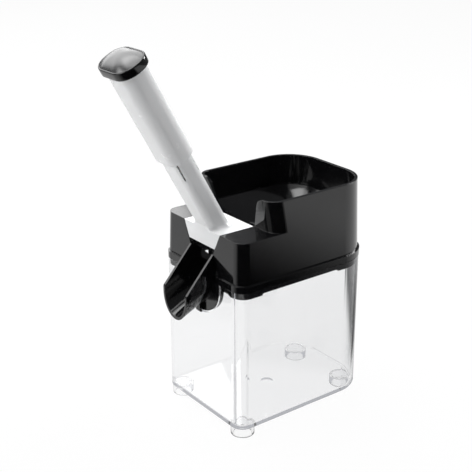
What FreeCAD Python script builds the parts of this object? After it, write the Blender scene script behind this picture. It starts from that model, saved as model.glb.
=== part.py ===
import FreeCAD, Part
import math
import os

from FreeCAD import Vector

# A table-top cherry pitter: a clear container for the stones, a black head with a hopper
# and a chute on top of it, and a sprung plunger that leans to the front.
# Millimetres. +Z is up, the chute points to -Y, and the object is symmetric about X = 0.
# The construction frame is the middle of the container's footprint on the table. The last
# step moves everything along Y, so that the origin is under the middle of the whole object.

# Container
WIDTH = 100.0
DEPTH = 134.5
RIM_Z = 121.8
FOOT_HEIGHT = 7.1
FLOOR_THICK = 2.6
CONTAINER_WALL = 2.2
FRONT_CORNER = 10.5
BACK_CORNER = 30.5
BOTTOM_ROUND = 1.5
FOOT_RADIUS = 9.2
FOOT_WALL = 1.9
FOOT_INSET = 0.8
BACK_FOOT_TURN = 60.0
NOTCH_RADIUS = 24.4
NOTCH_CENTRE_Z = 116.3
DIMPLE_RADIUS = 5.2
DIMPLE_DEPTH = 1.1
DIMPLE_Y = -2.0

# Head housing
FLANGE_HEIGHT = 5.4
FLANGE_OVERHANG = 0.3
SKIRT_DEPTH = 5.8
SKIRT_STEP = 1.5
SKIRT_STEP_FRONT_Y = -45.0
SKIRT_STEP_BACK_Y = 30.0
SKIRT_THICK = 2.0
SKIRT_FIT = 0.4
WALL_STEP = 1.25
WALL = 2.4
DRAFT = 0.026
DECK_Z = 160.0
HOPPER_HEIGHT = 24.9
HOPPER_FRONT_Y = -33.0
HOPPER_LEAN = 4.0
HOUSING_FRONT_CORNER = 8.5
HOPPER_FRONT_CORNER = 11.5
HOPPER_GAP_TOP_HALF = 30.9
HOPPER_GAP_ROUND = 8.0
NECK_DROP = 17.0
NECK_HALF = 14.6
SADDLE_TOP_HALF = 22.7
SADDLE_WALL = 2.2
GATE_HALF = 36.5
GATE_DROP = 11.2
GATE_ROUND = 2.5
RAIL_THICK = 1.8
RAIL_DEPTH = 3.0

# Feed tray and seat
TRAY_GAP = 0.3
TRAY_THICK = 2.2
TRAY_FALL = 0.2
TRAY_FLOOR_BACK_Y = 44.0
TRAY_FLOOR_ROUND = 5.0
CHANNEL_HALF = 13.8
CHANNEL_WALL = 2.2
SEAT_DEPTH = 39.0
SEAT_REACH = 14.2
SEAT_FLOOR = 3.4
SEAT_LIP = 2.0
SEAT_LIP_THICK = 1.6
RING_RADIUS = 11.0
RING_THICK = 2.3
RING_FIT = 0.2
RING_HOLE = 5.2
RING_DISH = 1.3
DROP_RADIUS = 8.2
POST_RADIUS = 3.8
POST_FRONT_Y = -20.0
POST_BACK_Y = 34.0
POST_LENGTH = 15.0
POST_DROP = 12.4
SCREW_RADIUS = 1.4
SCREW_HEAD_RADIUS = 2.8
SCREW_HEAD_HEIGHT = 1.8
SCREW_BITE = 5.0

# Chute
CHUTE_HALF = 15.3
CHUTE_BELLY = 18.8
CHUTE_WALL = 2.2
CHUTE_FALL = 0.4487
CHUTE_LOW_Z = 91.4
MOUTH_Y = -90.7
MOUTH_TOP_Z = 114.2
MOUTH_ROUND = 3.0
APRON_THICK = 2.2
APRON_FIT = 0.3
APRON_LAP = 2.5
LUG_FIT = 1.2
LUG_RECESS = 0.6
LUG_THICK = 2.6
RIB_HALF = 2.6
RIB_REACH = 2.2
RIB_LOW_Z = 91.8
RIB_ROUND = 1.6
CHUTE_DROP = 2.0

# Plunger axis: it crosses the deck level on the centre plane and leans to the front
TILT = 29.05
AXIS_Y = -54.5

# Guide, along the axis from the deck level
PLATE_BACK_Y = -33.9
PLATE_HEIGHT = 13.0
PLATE_THICK = 2.5
PLATE_FIT = 0.15
TUBE_HALF_X = 12.3
TUBE_HALF_Y = 8.4
TUBE_ROUND = 6.0
TUBE_WALL = 2.0
TUBE_TOP = 96.1
SPRING_SEAT = 5.6
STRIPPER_LOW = -9.0
STRIPPER_RADIUS = 8.3
FLARE_WIDTH = 2.2
FLARE_HEIGHT = 3.6
SLOT_LOW = 52.5
SLOT_WIDTH = 1.2
STOP_THICK = 2.7

# Plunger, along the axis at rest
STROKE = 38.0
SLEEVE_LOW = 68.6
SLEEVE_TOP = 145.8
SLEEVE_FIT = 0.35
SLEEVE_WALL = 2.3
SLEEVE_EDGE = 0.9
SLEEVE_WEB = 3.4
SPIGOT_FIT = 0.2
CORE_RADIUS = 4.0
CORE_FIT = 0.05
SLIDER_FIT = 0.3
KEY_HEIGHT = 5.0
KEY_FIT = 0.1
KEY_END_GAP = 0.3
PUNCH_TIP = -8.0
PUNCH_TOP = 20.0
PUNCH_BLADE = 1.5
PUNCH_HEART = 1.7
PUNCH_STEM = 2.4
PUNCH_STEM_LENGTH = 7.0
CAP_HALF_X = 19.6
CAP_HALF_Y = 13.5
CAP_ROUND = 12.4
CAP_HEIGHT = 6.6
CAP_EDGE = 0.9
CAP_POCKET = 2.6
COVER_INSET = 1.0
COVER_SINK = 1.6
COVER_DOME = 5.6
COVER_FIT = 0.15
SPRING_OUTER = 5.9
SPRING_WIRE = 1.1

# Values that follow from the sizes above
LEAN = math.radians(TILT)
HALF_WIDTH = WIDTH / 2
HALF_DEPTH = DEPTH / 2
FLANGE_TOP_Z = RIM_Z + FLANGE_HEIGHT
HOPPER_RIM_Z = DECK_Z + HOPPER_HEIGHT
NECK_Z = DECK_Z - NECK_DROP
GATE_Z = NECK_Z - GATE_DROP
POST_TOP_Z = DECK_Z - POST_DROP
HOUSING_HALF = HALF_WIDTH - WALL_STEP
HOUSING_DEPTH = HALF_DEPTH - WALL_STEP
SADDLE_SLOPE = (SADDLE_TOP_HALF - NECK_HALF) / (DECK_Z - NECK_Z)
SLOT_KEY_LOW = SLOT_LOW + STROKE + KEY_END_GAP
SLEEVE_WEB_LOW = SLEEVE_TOP - SLEEVE_WEB
# The share of a quarter bend at which its control points stand
QUARTER_BEND = 0.5523
# The degrees that the cover's slice swings through, more than the cover's length needs
DOME_SWEEP = 100
FLARE_CURVE = ((0.0, FLARE_WIDTH), (0.25, 0.4 * FLARE_WIDTH), (0.6, 0.1 * FLARE_WIDTH), (1.0, -0.4))


def rounded_wire(corners):
    """A closed wire in the XY plane through corners given as x, y and corner radius."""
    count = len(corners)
    bends = []
    for index in range(count):
        x, y, radius = corners[index]
        here = Vector(x, y, 0)
        before = Vector(corners[index - 1][0], corners[index - 1][1], 0) - here
        after = Vector(corners[(index + 1) % count][0], corners[(index + 1) % count][1], 0) - here
        before.normalize()
        after.normalize()
        if radius <= 0:
            bends.append((here, None, here))
            continue
        half_angle = before.getAngle(after) / 2
        reach = radius / math.tan(half_angle)
        inward = before + after
        inward.normalize()
        middle = here + inward * (radius / math.sin(half_angle) - radius)
        bends.append((here + before * reach, middle, here + after * reach))
    edges = []
    for index in range(count):
        start, middle, stop = bends[index]
        if middle is not None:
            edges.append(Part.Arc(start, middle, stop).toShape())
        following = bends[(index + 1) % count][0]
        if (following - stop).Length > 1e-6:
            edges.append(Part.makeLine(stop, following))
    return Part.Wire(edges)


def prism_z(corners, low, high):
    """A solid whose plan is given by corners in x and y."""
    face = Part.Face(rounded_wire(corners))
    face.translate(Vector(0, 0, low))
    return face.extrude(Vector(0, 0, high - low))


def prism_y(corners, front, back):
    """A solid whose front view is given by corners in x and z."""
    face = Part.Face(rounded_wire(corners))
    face.rotate(Vector(), Vector(1, 0, 0), 90)
    face.translate(Vector(0, front, 0))
    return face.extrude(Vector(0, back - front, 0))


def prism_x(corners, left, right):
    """A solid whose side view is given by corners in y and z."""
    face = Part.Face(rounded_wire(corners))
    face.rotate(Vector(), Vector(1, 1, 1), 120)
    face.translate(Vector(left, 0, 0))
    return face.extrude(Vector(right - left, 0, 0))


def mirrored(corners):
    """Corners of a whole outline, from its right half listed upwards from the bottom."""
    left = [(-x, y, radius) for x, y, radius in reversed(corners)]
    return corners + left


def plan(half, front, back, front_radius, back_radius):
    """The object's plan shape: small corners at the front and large ones at the back."""
    return [
        (-half, front, front_radius),
        (half, front, front_radius),
        (half, back, back_radius),
        (-half, back, back_radius),
    ]


def oblong(half_x, half_y, radius):
    """A rounded oblong around the plunger's axis."""
    return plan(half_x, -half_y, half_y, radius, radius)


def cylinder(radius, low, high, x=0.0, y=0.0):
    """An upright cylinder."""
    return Part.makeCylinder(radius, high - low, Vector(x, y, low))


def loft(low_corners, low_z, high_corners, high_z):
    """A straight-sided solid between two plans."""
    low_wire = rounded_wire(low_corners)
    low_wire.translate(Vector(0, 0, low_z))
    high_wire = rounded_wire(high_corners)
    high_wire.translate(Vector(0, 0, high_z))
    return Part.makeLoft([low_wire, high_wire], True, True)


def tilted(shape):
    """Moves a shape from the axis frame, where Z runs up the plunger, onto the leaning axis."""
    shape = shape.copy()
    shape.rotate(Vector(), Vector(1, 0, 0), TILT)
    shape.translate(Vector(0, AXIS_Y, DECK_Z))
    return shape


def edges_at(shape, z):
    """The edges that lie flat at a height."""
    found = []
    for edge in shape.Edges:
        box = edge.BoundBox
        if abs(box.ZMin - z) < 1e-4 and abs(box.ZMax - z) < 1e-4:
            found.append(edge)
    return found


def seat_plane_z(y):
    """The height of the leaning seat plane at a place along Y."""
    seat_y = AXIS_Y + SEAT_DEPTH * math.sin(LEAN)
    seat_z = DECK_Z - SEAT_DEPTH * math.cos(LEAN)
    return seat_z + (y - seat_y) * math.tan(LEAN)


def seat_y(reach):
    """The place along Y of a point on the seat plane, counted to the front from the axis."""
    return AXIS_Y + SEAT_DEPTH * math.sin(LEAN) - reach * math.cos(LEAN)


def container():
    """The clear container: a thin box with a rounded floor, four ring feet and a notch."""
    outside = prism_z(
        plan(HALF_WIDTH, -HALF_DEPTH, HALF_DEPTH, FRONT_CORNER, BACK_CORNER),
        FOOT_HEIGHT,
        RIM_Z,
    )
    outside = outside.makeFillet(BOTTOM_ROUND, edges_at(outside, FOOT_HEIGHT))
    floor_top = FOOT_HEIGHT + FLOOR_THICK
    inside = prism_z(
        plan(
            HALF_WIDTH - CONTAINER_WALL,
            -HALF_DEPTH + CONTAINER_WALL,
            HALF_DEPTH - CONTAINER_WALL,
            FRONT_CORNER - CONTAINER_WALL,
            BACK_CORNER - CONTAINER_WALL,
        ),
        floor_top,
        RIM_Z + 1,
    )
    inside = inside.makeFillet(BOTTOM_ROUND, edges_at(inside, floor_top))
    body = outside
    for x, y in foot_places():
        foot = cylinder(FOOT_RADIUS, 0, floor_top, x, y)
        body = body.fuse(foot)
    body = body.cut(inside)
    for x, y in foot_places():
        hollow = cylinder(FOOT_RADIUS - FOOT_WALL, 0, FOOT_HEIGHT, x, y)
        body = body.cut(hollow)
    dimple_ball = (DIMPLE_RADIUS ** 2 + DIMPLE_DEPTH ** 2) / (2 * DIMPLE_DEPTH)
    dimple_top = FOOT_HEIGHT + DIMPLE_DEPTH
    dimple = Part.makeSphere(dimple_ball, Vector(0, DIMPLE_Y, dimple_top - dimple_ball))
    body = body.cut(dimple)
    notch_floor = Part.makeCylinder(
        NOTCH_RADIUS,
        CONTAINER_WALL + 2,
        Vector(0, -HALF_DEPTH - 1, NOTCH_CENTRE_Z),
        Vector(0, 1, 0),
    )
    notch_sides = Part.makeBox(
        2 * NOTCH_RADIUS,
        CONTAINER_WALL + 2,
        RIM_Z - NOTCH_CENTRE_Z + 1,
        Vector(-NOTCH_RADIUS, -HALF_DEPTH - 1, NOTCH_CENTRE_Z),
    )
    return body.cut(notch_floor).cut(notch_sides)


def foot_places():
    """The feet's centres: each stands inside its corner of the container."""
    front_x = HALF_WIDTH - FOOT_RADIUS - FOOT_INSET
    front_y = -HALF_DEPTH + FOOT_RADIUS + FOOT_INSET
    back_reach = max(BACK_CORNER - FOOT_RADIUS - 2 * FOOT_INSET, 0)
    back_turn = math.radians(BACK_FOOT_TURN)
    back_x = HALF_WIDTH - BACK_CORNER + back_reach * math.cos(back_turn)
    back_y = HALF_DEPTH - BACK_CORNER + back_reach * math.sin(back_turn)
    return [(-front_x, front_y), (front_x, front_y), (-back_x, back_y), (back_x, back_y)]


def housing_plan(inset, z):
    """The housing wall's plan at a height, inset from its outer face."""
    narrow = inset + DRAFT * (z - FLANGE_TOP_Z)
    return plan(
        HOUSING_HALF - narrow,
        -HOUSING_DEPTH + narrow,
        HOUSING_DEPTH - narrow,
        HOUSING_FRONT_CORNER - inset,
        BACK_CORNER - WALL_STEP - inset,
    )


def hopper_plan(inset, z):
    """The hopper wall's plan at a height: its front leans out towards the rim."""
    narrow = inset + DRAFT * (z - FLANGE_TOP_Z)
    lean = HOPPER_LEAN * (z - DECK_Z) / (HOPPER_RIM_Z - DECK_Z)
    return plan(
        HOUSING_HALF - narrow,
        HOPPER_FRONT_Y - lean + inset,
        HOUSING_DEPTH - narrow,
        HOPPER_FRONT_CORNER - inset,
        BACK_CORNER - WALL_STEP - inset,
    )


def skirt_plan(inset):
    """The plan of the skirt that fits inside the container's rim."""
    gap = CONTAINER_WALL + SKIRT_FIT + inset
    return plan(
        HALF_WIDTH - gap,
        -HALF_DEPTH + gap,
        HALF_DEPTH - gap,
        FRONT_CORNER - gap,
        BACK_CORNER - gap,
    )


def housing_wall_y(z):
    """The inner face of the housing's front wall at a height."""
    return -HOUSING_DEPTH + DRAFT * (z - FLANGE_TOP_Z) + WALL


def housing():
    """The black head shell: flange and skirt, deck with the V saddle, and the hopper walls."""
    flange = prism_z(
        plan(
            HALF_WIDTH + FLANGE_OVERHANG,
            -HALF_DEPTH - FLANGE_OVERHANG,
            HALF_DEPTH + FLANGE_OVERHANG,
            FRONT_CORNER + FLANGE_OVERHANG,
            BACK_CORNER + FLANGE_OVERHANG,
        ),
        RIM_Z,
        FLANGE_TOP_Z,
    )
    skirt = prism_z(skirt_plan(0), RIM_Z - SKIRT_DEPTH, RIM_Z)
    # Between its corners the skirt's sides are a little less deep
    skirt_step = Part.makeBox(
        WIDTH,
        SKIRT_STEP_BACK_Y - SKIRT_STEP_FRONT_Y,
        SKIRT_STEP,
        Vector(-HALF_WIDTH, SKIRT_STEP_FRONT_Y, RIM_Z - SKIRT_DEPTH),
    )
    skirt = skirt.cut(skirt_step)
    walls = loft(housing_plan(0, FLANGE_TOP_Z), FLANGE_TOP_Z, housing_plan(0, DECK_Z), DECK_Z)
    hopper = loft(hopper_plan(0, DECK_Z), DECK_Z, hopper_plan(0, HOPPER_RIM_Z), HOPPER_RIM_Z)
    shell = flange.fuse([skirt, walls, hopper])
    deck_under = DECK_Z - WALL
    skirt_room = prism_z(skirt_plan(SKIRT_THICK), RIM_Z - SKIRT_DEPTH - 1, FLANGE_TOP_Z)
    room = loft(housing_plan(WALL, FLANGE_TOP_Z), FLANGE_TOP_Z, housing_plan(WALL, deck_under), deck_under)
    hopper_room = loft(
        hopper_plan(WALL, deck_under),
        deck_under,
        hopper_plan(WALL, HOPPER_RIM_Z + 1),
        HOPPER_RIM_Z + 1,
    )
    shell = shell.cut(skirt_room).cut(room).cut(hopper_room)
    shell = shell.fuse(saddle_walls())
    shell = shell.cut(saddle_cut()).cut(gate_cut()).cut(hopper_gap())
    for side in (-1, 1):
        shell = shell.fuse(chute_rail(side))
        for y in (POST_FRONT_Y, POST_BACK_Y):
            shell = shell.fuse(tray_post(side, y))
            shell = shell.cut(post_bore(side, y))
    return shell.removeSplitter()


def saddle_walls():
    """The sloped walls under the deck that carry the guide's base."""
    low = NECK_Z
    high = DECK_Z - WALL / 2
    low_half = NECK_HALF
    high_half = SADDLE_TOP_HALF - SADDLE_SLOPE * (DECK_Z - high)
    front = housing_wall_y(NECK_Z) - WALL / 2
    walls = []
    for side in (-1, 1):
        corners = [
            (side * low_half, low, 0),
            (side * (low_half + SADDLE_WALL), low, 0),
            (side * (high_half + SADDLE_WALL), high, 0),
            (side * high_half, high, 0),
        ]
        walls.append(prism_y(corners, front, HOPPER_FRONT_Y))
    return walls


def saddle_cut():
    """The room for the guide's base: a V through the deck and the front wall."""
    over = 1.0
    corners = mirrored([
        (NECK_HALF, NECK_Z, 0),
        (SADDLE_TOP_HALF + SADDLE_SLOPE * over, DECK_Z + over, 0),
    ])
    return prism_y(corners, -HALF_DEPTH - 2, HOPPER_FRONT_Y + WALL + 1)


def gate_cut():
    """The opening in the front wall below the neck, which widens to the rim of the container."""
    corners = mirrored([
        (GATE_HALF, RIM_Z - SKIRT_DEPTH - 1, 0),
        (GATE_HALF, GATE_Z, GATE_ROUND),
        (NECK_HALF, NECK_Z, 0),
    ])
    return prism_y(corners, -HALF_DEPTH - 2, housing_wall_y(FLANGE_TOP_Z) + SKIRT_THICK + 1)


def hopper_gap():
    """The V gap between the hopper's two front walls, rounded at the rim."""
    above = HOPPER_RIM_Z + 5
    outside = HALF_WIDTH + 5
    corners = mirrored([
        (SADDLE_TOP_HALF, DECK_Z, 0),
        (HOPPER_GAP_TOP_HALF, HOPPER_RIM_Z, HOPPER_GAP_ROUND),
        (outside, HOPPER_RIM_Z, 0),
        (outside, above, 0),
    ])
    return prism_y(corners, HOPPER_FRONT_Y - HOPPER_LEAN - 2, HOPPER_FRONT_Y + WALL + 1)


def chute_rail(side):
    """A rail behind the front wall that holds the chute's apron at its side edge."""
    inner = GATE_HALF + APRON_LAP + APRON_FIT
    front = housing_wall_y(FLANGE_TOP_Z) - WALL / 2
    corners = [
        (side * inner, FLANGE_TOP_Z + 0.5, 0),
        (side * (inner + RAIL_THICK), FLANGE_TOP_Z + 0.5, 0),
        (side * (inner + RAIL_THICK), GATE_Z + 4, 0),
        (side * inner, GATE_Z + 4, 0),
    ]
    return prism_y(corners, front, housing_wall_y(FLANGE_TOP_Z) + APRON_THICK + RAIL_DEPTH)


def post_x(y):
    """The distance from the centre plane of the posts that carry the tray."""
    inner = HOUSING_HALF - WALL - DRAFT * (POST_TOP_Z - FLANGE_TOP_Z)
    return inner - POST_RADIUS


def tray_post(side, y):
    """A post on the inner side wall, with a web that joins it to the wall."""
    x = side * post_x(y)
    low = POST_TOP_Z - POST_LENGTH
    post = cylinder(POST_RADIUS, low, POST_TOP_Z, x, y)
    reach = HOUSING_HALF - WALL / 2 - DRAFT * (POST_TOP_Z - FLANGE_TOP_Z) - post_x(y)
    web = Part.makeBox(reach, POST_RADIUS, POST_LENGTH, Vector(0, y - POST_RADIUS / 2, low))
    if side > 0:
        web.translate(Vector(x, 0, 0))
    else:
        web.translate(Vector(x - reach, 0, 0))
    return post.fuse(web)


def post_bore(side, y):
    """The screw's way through a post, with room for its head from below."""
    x = side * post_x(y)
    low = POST_TOP_Z - POST_LENGTH
    return cylinder(SCREW_RADIUS + RING_FIT, low - 1, POST_TOP_Z + 1, x, y)


def tray_top_plan(inset):
    """The tray's plan at its top edge, just inside the hopper walls."""
    return hopper_plan(WALL + TRAY_GAP + inset, DECK_Z)


def tray_floor(inset, drop):
    """The wire around the tray's narrow floor, which falls to the seat."""
    front_y = seat_y(-SEAT_REACH)
    length = (TRAY_FLOOR_BACK_Y - front_y) * math.sqrt(1 + TRAY_FALL * TRAY_FALL)
    corners = plan(
        CHANNEL_HALF - inset,
        inset,
        length - inset,
        TRAY_FLOOR_ROUND - inset,
        TRAY_FLOOR_ROUND - inset,
    )
    wire = rounded_wire(corners)
    wire.rotate(Vector(), Vector(1, 0, 0), math.degrees(math.atan(TRAY_FALL)))
    wire.translate(Vector(0, front_y, seat_plane_z(front_y) - drop))
    return wire


def funnel(inset, drop, top_z):
    """A solid between the tray's top edge and its narrow floor."""
    top = rounded_wire(tray_top_plan(inset))
    top.translate(Vector(0, 0, top_z))
    return Part.makeLoft([tray_floor(inset, drop), top], True, True)


def feed_tray():
    """The sloped hopper floor with its channel and the leaning seat for one cherry."""
    outside = funnel(0, TRAY_THICK, DECK_Z)
    inside = funnel(TRAY_THICK, 0, DECK_Z + 0.01)
    tray = outside.cut(inside)
    back = seat_y(-SEAT_REACH) + TRAY_FLOOR_ROUND
    front = seat_y(SEAT_REACH)
    top = NECK_Z - TRAY_GAP
    block = prism_x(
        [
            (back, seat_plane_z(back) - SEAT_FLOOR / math.cos(LEAN), 0),
            (back, top, 0),
            (front, top, 0),
            (front, seat_plane_z(front) - SEAT_FLOOR / math.cos(LEAN), 0),
        ],
        -CHANNEL_HALF - CHANNEL_WALL,
        CHANNEL_HALF + CHANNEL_WALL,
    )
    block = block.cut(inside)
    lip_back = seat_y(SEAT_REACH - SEAT_LIP_THICK)
    lip = SEAT_LIP / math.cos(LEAN)
    hollow = prism_x(
        [
            (front - 1, seat_plane_z(front - 1) + lip, 0),
            (lip_back, seat_plane_z(lip_back) + lip, 0),
            (lip_back, seat_plane_z(lip_back), 0),
            (seat_y(-SEAT_REACH), seat_plane_z(seat_y(-SEAT_REACH)), 0),
            (back + 1, seat_plane_z(seat_y(-SEAT_REACH)) + TRAY_FALL * (TRAY_FLOOR_ROUND + 1), 0),
            (back + 1, DECK_Z + 1, 0),
            (front - 1, DECK_Z + 1, 0),
        ],
        -CHANNEL_HALF,
        CHANNEL_HALF,
    )
    tray = tray.fuse(block).cut(hollow)
    recess = tilted(cylinder(RING_RADIUS, -SEAT_DEPTH - RING_THICK, -SEAT_DEPTH + 6))
    drop = tilted(cylinder(DROP_RADIUS, -SEAT_DEPTH - 3 * SEAT_FLOOR, -SEAT_DEPTH))
    tray = tray.cut(recess).cut(drop)
    for side in (-1, 1):
        for y in (POST_FRONT_Y, POST_BACK_Y):
            x = side * post_x(y)
            boss = cylinder(POST_RADIUS - 0.5, POST_TOP_Z, DECK_Z - 1, x, y)
            tray = tray.fuse(boss.cut(inside))
            pilot = cylinder(SCREW_RADIUS, POST_TOP_Z - 1, POST_TOP_Z + SCREW_BITE, x, y)
            tray = tray.cut(pilot)
    return tray.removeSplitter()


def seat_ring():
    """The soft ring in the seat: a dished washer that holds the cherry over the drop hole."""
    top = -SEAT_DEPTH
    low = top - RING_THICK
    body = cylinder(RING_RADIUS - RING_FIT, low, top)
    dish = Part.makeCone(RING_HOLE, RING_RADIUS - 1.5, RING_DISH, Vector(0, 0, top - RING_DISH))
    hole = cylinder(RING_HOLE, low - 1, top + 1)
    return tilted(body.cut(dish).cut(hole))


def tray_screws():
    """Four screws that come up through the posts into the tray."""
    screws = []
    head_top = POST_TOP_Z - POST_LENGTH
    for side in (-1, 1):
        for y in (POST_FRONT_Y, POST_BACK_Y):
            x = side * post_x(y)
            shank = cylinder(SCREW_RADIUS, head_top, POST_TOP_Z + SCREW_BITE - 0.5, x, y)
            head = cylinder(SCREW_HEAD_RADIUS, head_top - SCREW_HEAD_HEIGHT, head_top, x, y)
            screws.append(shank.fuse(head))
    return Part.makeCompound(screws)


def chute_trough(inset):
    """A long sloping block with a U bottom: the chute's outside, or its channel."""
    half = CHUTE_HALF - inset
    belly = CHUTE_BELLY - inset
    back_y = -HALF_DEPTH + 30
    front_y = MOUTH_Y - 10
    low_z = CHUTE_LOW_Z + CHUTE_FALL * (back_y - MOUTH_Y) + inset
    top_z = DECK_Z + 40
    sides = []
    for side in (-1, 1):
        # A quarter of an ellipse, from the straight side down to the middle
        bend = Part.BezierCurve()
        bend.setPoles([
            Vector(side * half, low_z + belly, 0),
            Vector(side * half, low_z + belly - QUARTER_BEND * belly, 0),
            Vector(side * QUARTER_BEND * half, low_z, 0),
            Vector(0, low_z, 0),
        ])
        sides.append(bend.toShape())
        sides.append(Part.makeLine(Vector(side * half, low_z + belly, 0), Vector(side * half, top_z, 0)))
    sides.append(Part.makeLine(Vector(-half, top_z, 0), Vector(half, top_z, 0)))
    face = Part.Face(Part.Wire(Part.__sortEdges__(sides)))
    face.rotate(Vector(), Vector(1, 0, 0), 90)
    face.translate(Vector(0, back_y, 0))
    run = back_y - front_y
    return face.extrude(Vector(0, -run, -run * CHUTE_FALL))


def chute():
    """The chute: a U trough in front, an apron behind the front wall, and a drop inside."""
    apron_front = housing_wall_y(NECK_Z) + APRON_FIT
    apron_back = apron_front + APRON_THICK
    neck_front = housing_wall_y(NECK_Z) - WALL
    top_z = NECK_Z - APRON_FIT
    # The trough in front of the apron, under its slanted top edge and behind its mouth.
    # Where it passes the gate its top stays below the place where the gate gets too narrow.
    gate_spread = (GATE_HALF - NECK_HALF) / (NECK_Z - GATE_Z)
    trough_top = NECK_Z - max(APRON_FIT, (CHUTE_HALF + APRON_FIT - NECK_HALF) / gate_spread)
    room = prism_x(
        [
            (apron_back, CHUTE_LOW_Z - 10, 0),
            (apron_back, trough_top, 0),
            (neck_front, trough_top, 0),
            (MOUTH_Y, MOUTH_TOP_Z, MOUTH_ROUND),
            (MOUTH_Y, CHUTE_LOW_Z - 10, 0),
        ],
        -CHUTE_HALF - 1,
        CHUTE_HALF + 1,
    )
    trough = chute_trough(0).common(room)
    low_block = Part.makeBox(
        2 * CHUTE_HALF,
        apron_back - MOUTH_Y,
        NECK_Z - RIB_LOW_Z + 10,
        Vector(-CHUTE_HALF, MOUTH_Y, RIB_LOW_Z - 10),
    )
    under_trough = low_block.cut(chute_trough(CHUTE_WALL / 2))
    # The apron behind the front wall
    side = GATE_HALF + APRON_LAP
    gate_fall = (NECK_Z - GATE_Z) / (GATE_HALF - NECK_HALF)
    top_half = NECK_HALF + SADDLE_WALL + 2
    low_half = GATE_HALF - APRON_FIT
    apron = prism_y(
        mirrored([
            (low_half, RIM_Z - SKIRT_DEPTH, 0),
            (low_half, FLANGE_TOP_Z + APRON_FIT, 0),
            (side, FLANGE_TOP_Z + APRON_FIT, 0),
            (side, GATE_Z + 1, 0),
            (top_half, min(NECK_Z - gate_fall * (top_half - NECK_HALF) + 2, top_z), 0),
            (top_half - 1, top_z, 0),
        ]),
        apron_front,
        apron_back,
    )
    # The lug that closes the notch in the container
    lug_radius = NOTCH_RADIUS - LUG_FIT
    lug_front = -HALF_DEPTH + LUG_RECESS
    lug = Part.makeCylinder(
        lug_radius,
        apron_back - lug_front,
        Vector(0, lug_front, NOTCH_CENTRE_Z),
        Vector(0, 1, 0),
    )
    lug_top = Part.makeBox(
        2 * lug_radius,
        apron_back - lug_front,
        RIM_Z - NOTCH_CENTRE_Z,
        Vector(-lug_radius, lug_front, NOTCH_CENTRE_Z),
    )
    lug_limit = Part.makeBox(
        2 * lug_radius,
        apron_back - lug_front,
        lug_radius + RIM_Z - NOTCH_CENTRE_Z,
        Vector(-lug_radius, lug_front, NOTCH_CENTRE_Z - lug_radius),
    )
    lug = lug.fuse(lug_top).common(lug_limit)
    hollow_radius = lug_radius - LUG_THICK
    lug_hollow = Part.makeCylinder(
        hollow_radius,
        apron_back - lug_front - LUG_THICK + 1,
        Vector(0, lug_front + LUG_THICK, NOTCH_CENTRE_Z),
        Vector(0, 1, 0),
    )
    # The part behind the apron that catches the cherry below the seat's lip
    drop_back = seat_y(SEAT_REACH) - APRON_FIT
    drop_z = seat_plane_z(seat_y(SEAT_REACH)) - CHUTE_DROP
    floor_front_z = CHUTE_LOW_Z + CHUTE_FALL * (apron_back - MOUTH_Y) + CHUTE_WALL
    drop_outer = prism_x(
        [
            (apron_front, floor_front_z - CHUTE_WALL, 0),
            (drop_back, drop_z - CHUTE_WALL, 0),
            (drop_back, drop_z + 12, 0),
            (apron_front, top_z, 0),
        ],
        -CHUTE_HALF,
        CHUTE_HALF,
    )
    drop_inner = prism_x(
        [
            (apron_front - 1, floor_front_z, 0),
            (apron_back, floor_front_z, 0),
            (drop_back, drop_z, 0),
            (drop_back + 1, drop_z, 0),
            (drop_back + 1, DECK_Z, 0),
            (apron_front - 1, DECK_Z, 0),
        ],
        -CHUTE_HALF + CHUTE_WALL,
        CHUTE_HALF - CHUTE_WALL,
    )
    # The rib under the trough: below the notch it stands clear of the container
    rib_back = -HALF_DEPTH - APRON_FIT
    rib_front = rib_back - RIB_REACH
    above_notch = NOTCH_CENTRE_Z - lug_radius + RIB_ROUND
    rib = prism_x(
        [
            (apron_front, above_notch + 8, 0),
            (apron_front, above_notch, 0),
            (rib_back, above_notch, 0),
            (rib_back, RIB_LOW_Z, 0),
            (rib_front, RIB_LOW_Z, RIB_ROUND),
            (rib_front, above_notch + 8, 0),
        ],
        -RIB_HALF,
        RIB_HALF,
    ).common(under_trough)
    channel = chute_trough(CHUTE_WALL).common(
        Part.makeBox(
            2 * CHUTE_HALF,
            apron_back - MOUTH_Y + 20,
            2 * DECK_Z,
            Vector(-CHUTE_HALF, MOUTH_Y - 20, 0),
        )
    )
    body = apron.fuse([lug, trough])
    body = body.cut(lug_hollow.cut(chute_trough(0)))
    body = body.fuse([drop_outer, rib])
    body = body.cut(channel).cut(drop_inner)
    return body.removeSplitter()


def tube_plan(outset):
    """The guide tube's oblong plan, grown from its outer face."""
    return oblong(TUBE_HALF_X + outset, TUBE_HALF_Y + outset, TUBE_ROUND + outset)


def corner_bars(width, reach, low, high):
    """Four upright bars, each from the centre of a tube corner outwards along its diagonal."""
    bars = []
    for x_side in (-1, 1):
        for y_side in (-1, 1):
            bar = Part.makeBox(reach, width, high - low, Vector(0, -width / 2, low))
            bar.rotate(Vector(), Vector(0, 0, 1), math.degrees(math.atan2(y_side, x_side)))
            centre = Vector(x_side * (TUBE_HALF_X - TUBE_ROUND), y_side * (TUBE_HALF_Y - TUBE_ROUND), 0)
            bar.translate(centre)
            bars.append(bar)
    return bars


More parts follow.
